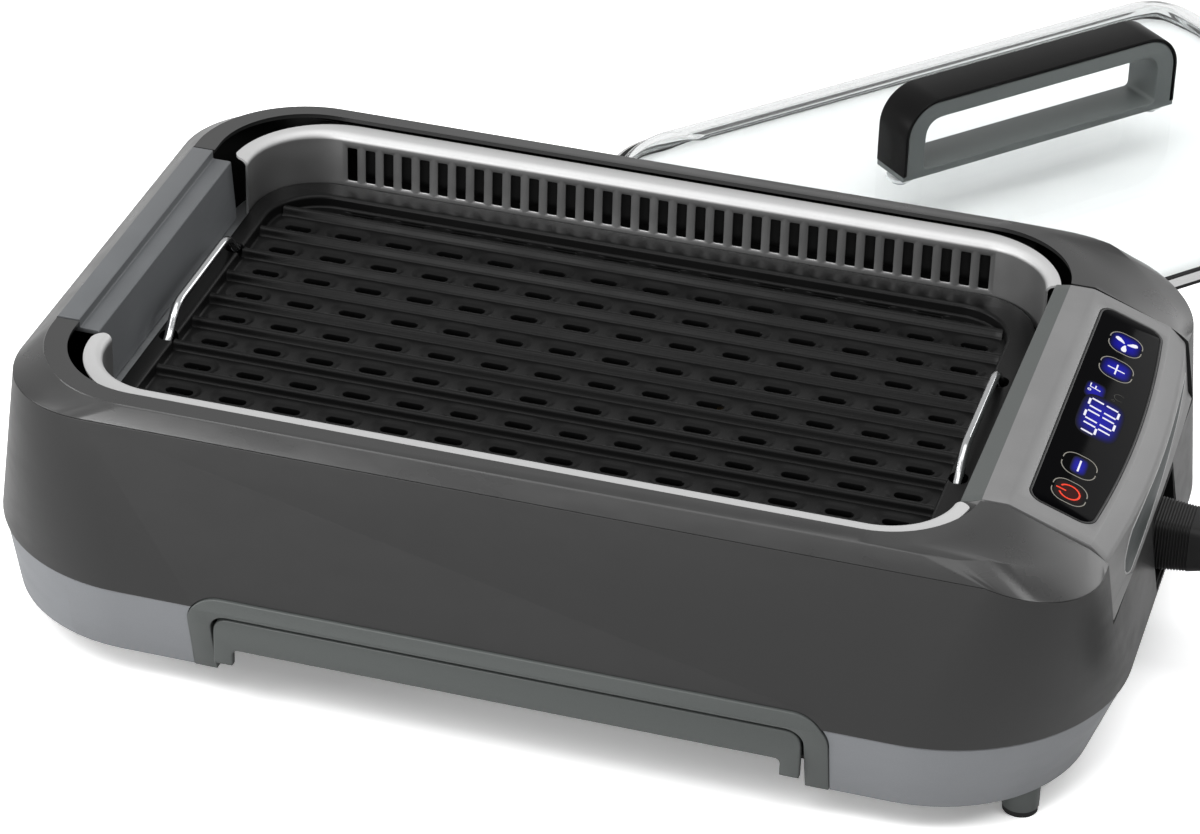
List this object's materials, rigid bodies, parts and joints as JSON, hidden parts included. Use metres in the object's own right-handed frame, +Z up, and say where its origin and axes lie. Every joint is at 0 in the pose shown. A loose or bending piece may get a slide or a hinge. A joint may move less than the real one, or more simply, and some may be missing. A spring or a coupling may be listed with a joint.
{
  "type": "electric indoor grill with lid",
  "caption": "Low tabletop electric grill with a slotted ribbed plate, a smoke fan, a slide-out drip tray, a touch panel and a lift-off glass lid lying behind it.",
  "frame": {"origin": "centre of the grill body's footprint at the level the foot pads rest on", "axes": "+X to the control end, +Y to the rear vent wall and the lid, +Z up"},
  "size_m": [0.7117, 0.8673, 0.1524],
  "materials": {
    "base_plastic": "fine satin texture",
    "black_plastic": "satin black",
    "pad_rubber": "matt",
    "screw_steel": "plain",
    "grey_plastic": "satin mid grey",
    "band_plastic": "semi-gloss dark grey",
    "rim_plastic": "satin dark grey",
    "trim_steel": "satin silver paint",
    "shield_steel": "plain sheet",
    "heater_steel": "dark sheathed heater",
    "brass_parts": "bare",
    "board_green": "circuit board",
    "panel_glass": "polished black glass",
    "lens_plastic": "dark translucent lens",
    "plate_coating": "glossy non-stick coating",
    "wire_steel": "bright wire",
    "lid_glass": "clear tempered glass",
    "rim_chrome": "polished",
    "cord_black": "satin cord sheath"
  },
  "bodies": {
    "body": {"base_shell": "base_plastic", "bottom_cover": "black_plastic", "legs": "base_plastic", "foot_pads": "pad_rubber", "base_screws": "screw_steel", "tray_frame": "grey_plastic", "outer_band": "band_plastic", "top_rim": "rim_plastic", "left_end_cap": "grey_plastic", "front_trim": "trim_steel", "rear_vent_trim": "trim_steel", "smoke_duct": "black_plastic", "heat_shield_tub": "shield_steel", "heating_element": "heater_steel", "element_brackets": "shield_steel", "temperature_probe": "brass_parts", "plate_switch": "black_plastic", "fan_scroll": "black_plastic", "fan_motor": "screw_steel", "power_board": "board_green", "inlet_housing": "black_plastic", "inlet_pins": "brass_parts", "control_housing": "rim_plastic", "control_glass": "panel_glass", "display_module": "black_plastic", "control_board": "board_green", "side_lens": "lens_plastic"},
    "fan": {"fan_impeller": "shield_steel"},
    "plate": {"grill_plate": "plate_coating"},
    "left_bail": {"bail_left": "wire_steel"},
    "right_bail": {"bail_right": "wire_steel"},
    "tray": {"drip_tray": "black_plastic", "tray_front": "grey_plastic"},
    "lid": {"lid_glass": "lid_glass", "lid_rim": "rim_chrome", "lid_gasket": "pad_rubber", "handle_cover": "black_plastic", "handle_core": "grey_plastic", "handle_screws": "screw_steel", "handle_washers": "pad_rubber"},
    "cord_set": {"cord_connector": "cord_black", "power_cord": "cord_black", "cord_coil": "cord_black", "mains_plug": "cord_black"}
  },
  "joints": [
    {"name": "lid_lift", "type": "slide", "parent": "body", "child": "lid", "axis": [0, 0, 1], "range_m": [0, 0.25]},
    {"name": "plate_lift", "type": "slide", "parent": "body", "child": "plate", "axis": [0, 0, 1], "range_m": [0, 0.2]},
    {"name": "left_bail_swing", "type": "hinge", "parent": "plate", "child": "left_bail", "pos_m": [-0.2124, 0.0075, 0.1166], "axis": [0, 1, 0], "range_deg": [-25, 25]},
    {"name": "right_bail_swing", "type": "hinge", "parent": "plate", "child": "right_bail", "pos_m": [0.1816, 0.0075, 0.1166], "axis": [0, 1, 0], "range_deg": [-25, 18]},
    {"name": "tray_slide", "type": "slide", "parent": "body", "child": "tray", "axis": [0, -1, 0], "range_m": [0, 0.2]},
    {"name": "cord_unplug", "type": "slide", "parent": "body", "child": "cord_set", "axis": [1, 0, 0], "range_m": [0, 0.035]},
    {"name": "fan_spin", "type": "hinge", "parent": "body", "child": "fan", "pos_m": [0.2165, 0.099, 0.065], "axis": [0, 0, 1], "continuous": true}
  ]
}
